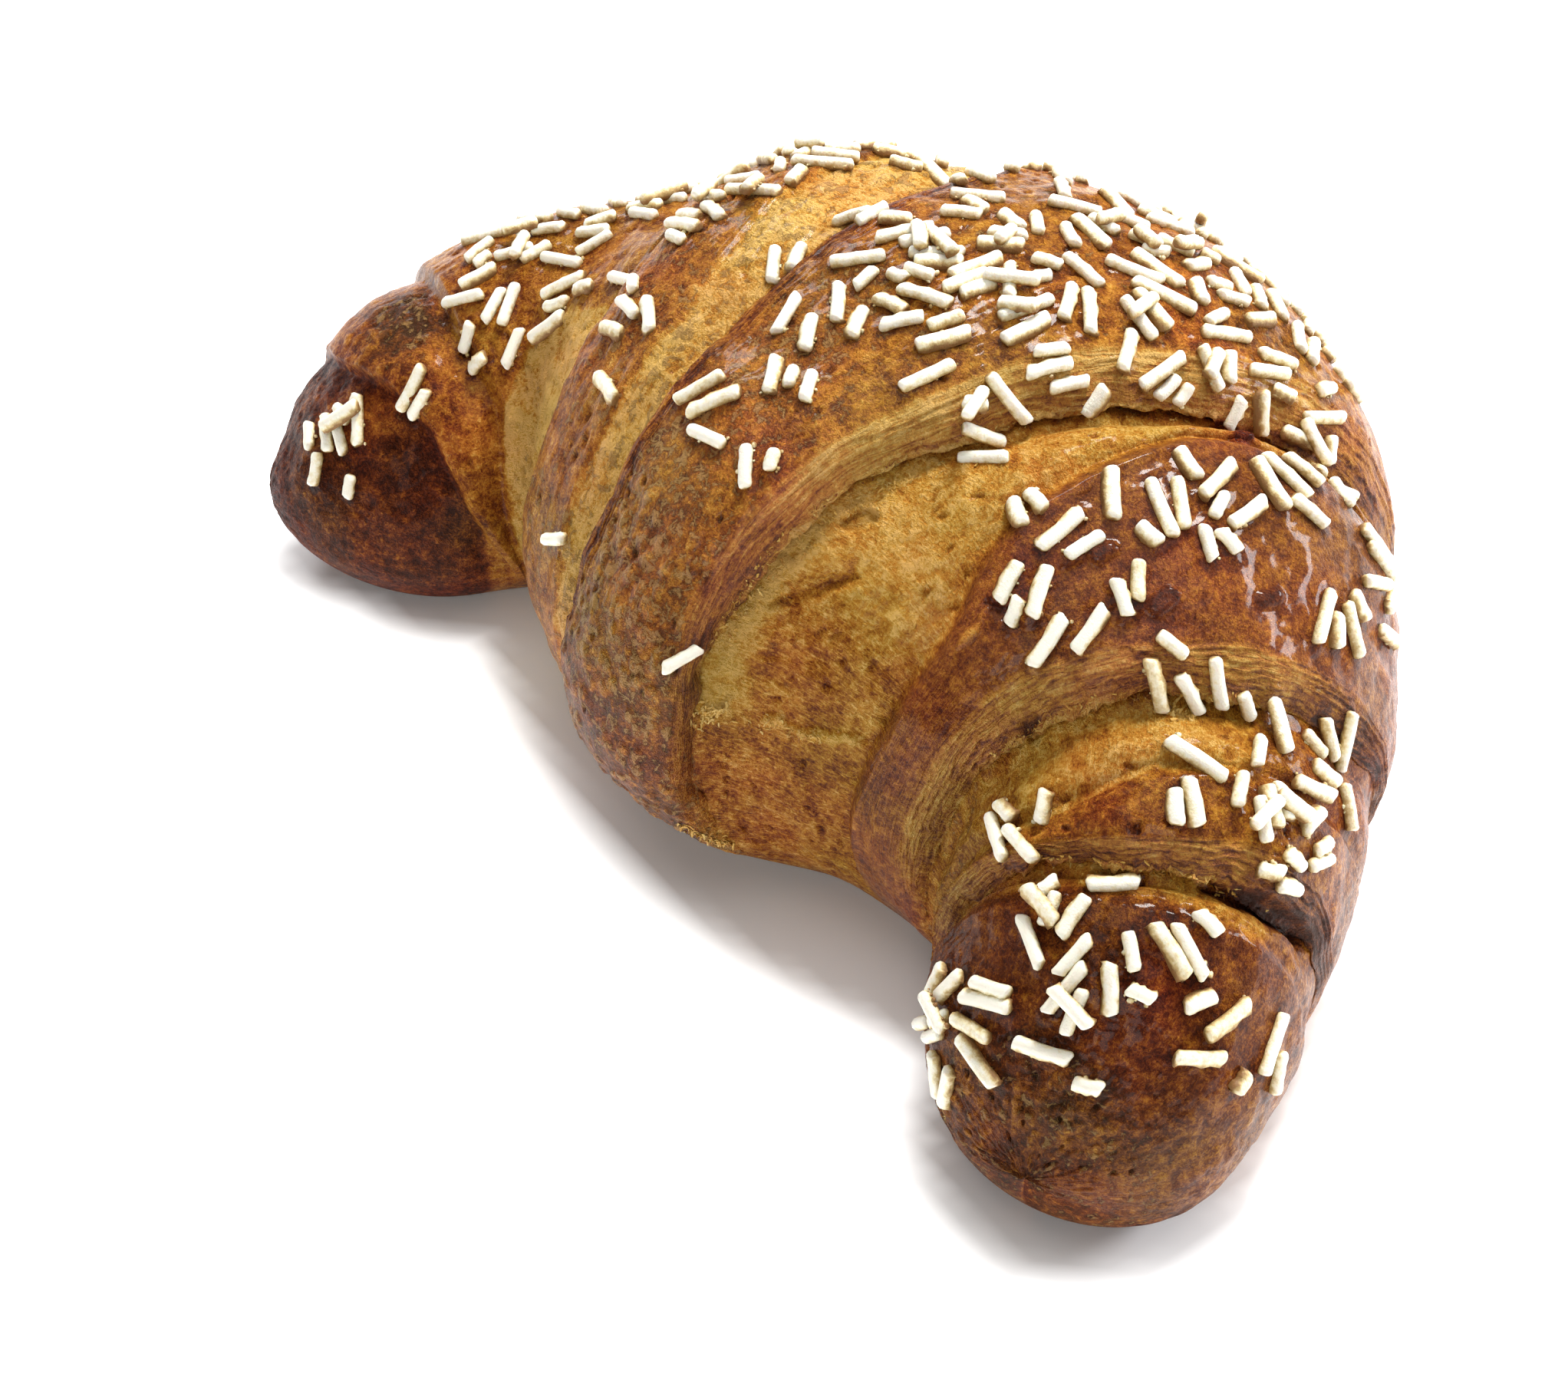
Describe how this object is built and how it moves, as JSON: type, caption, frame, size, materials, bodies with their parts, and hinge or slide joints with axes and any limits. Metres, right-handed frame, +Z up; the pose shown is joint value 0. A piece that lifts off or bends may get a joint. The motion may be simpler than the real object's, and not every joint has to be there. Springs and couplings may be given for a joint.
{
  "type": "cream-filled croissant",
  "caption": "Whole crescent-shaped filled croissant with stepped wraps of dough, a glazed brown crust, a flat underside and white sugar rods baked onto the top.",
  "frame": {"origin": "under the middle of the whole, on the flat underside", "axes": "+X from the left horn to the right horn, +Y towards the thick outer back, +Z up; the horns point towards -Y"},
  "size_m": [0.1423, 0.0907, 0.0599],
  "materials": {
    "crust": "egg-glazed baked crust, satin to glossy",
    "sugar": "matte pressed sugar"
  },
  "bodies": {
    "root": {"croissant": "crust"}
  },
  "joints": []
}
